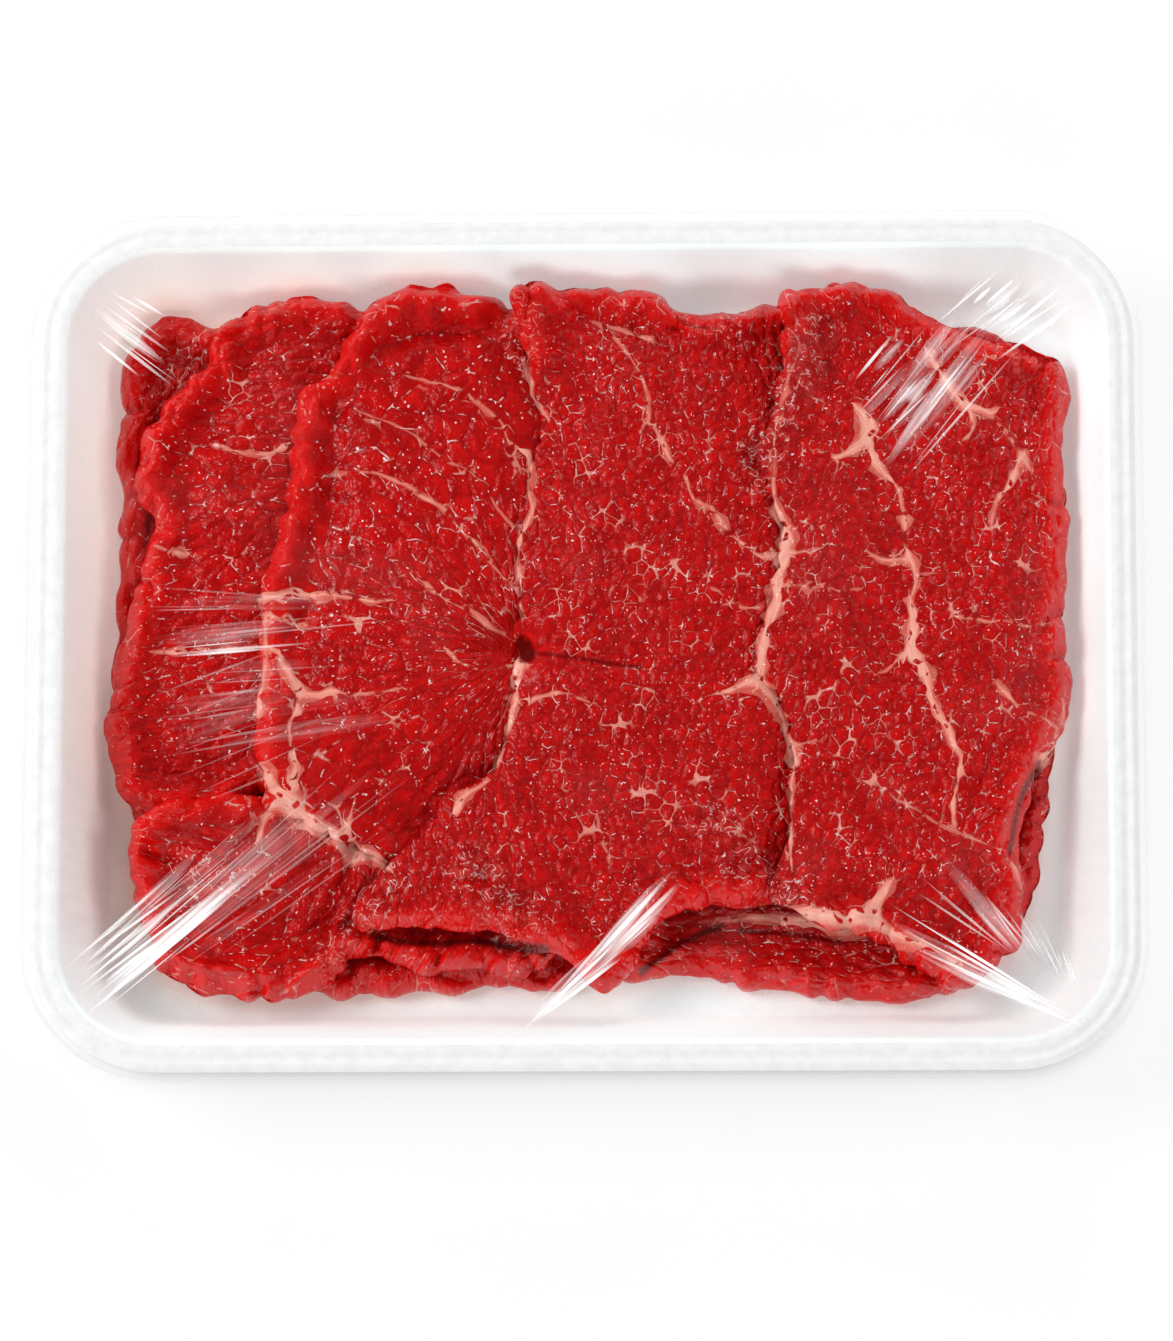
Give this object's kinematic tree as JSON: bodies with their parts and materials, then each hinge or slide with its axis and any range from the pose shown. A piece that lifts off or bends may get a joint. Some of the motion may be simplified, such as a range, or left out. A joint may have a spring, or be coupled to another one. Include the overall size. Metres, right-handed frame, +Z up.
{
  "type": "raw beef steak tray pack",
  "caption": "Wide shallow foam tray of thin overlapping raw beef slices with marbling, wrapped tight in clear stretch film.",
  "frame": {"origin": "middle of the tray at the level of the film under its base", "axes": "+X along the tray's long side, +Y towards its back long side, +Z up"},
  "size_m": [0.2366, 0.1856, 0.0293],
  "materials": {
    "foam": "white expanded foam with a fine mottled skin, matt with a faint sheen",
    "beef": "wet raw lean beef, deep red, with cream to pink seams of fat and fine branching marbling",
    "film": "clear stretch film, glossy, with fine pulled creases that run in from the corners"
  },
  "bodies": {
    "root": {"tray": "foam", "steak_1": "beef", "steak_2": "beef", "steak_3": "beef", "steak_4": "beef", "steak_5": "beef", "steak_6": "beef", "steak_7": "beef", "film": "film"}
  },
  "joints": []
}
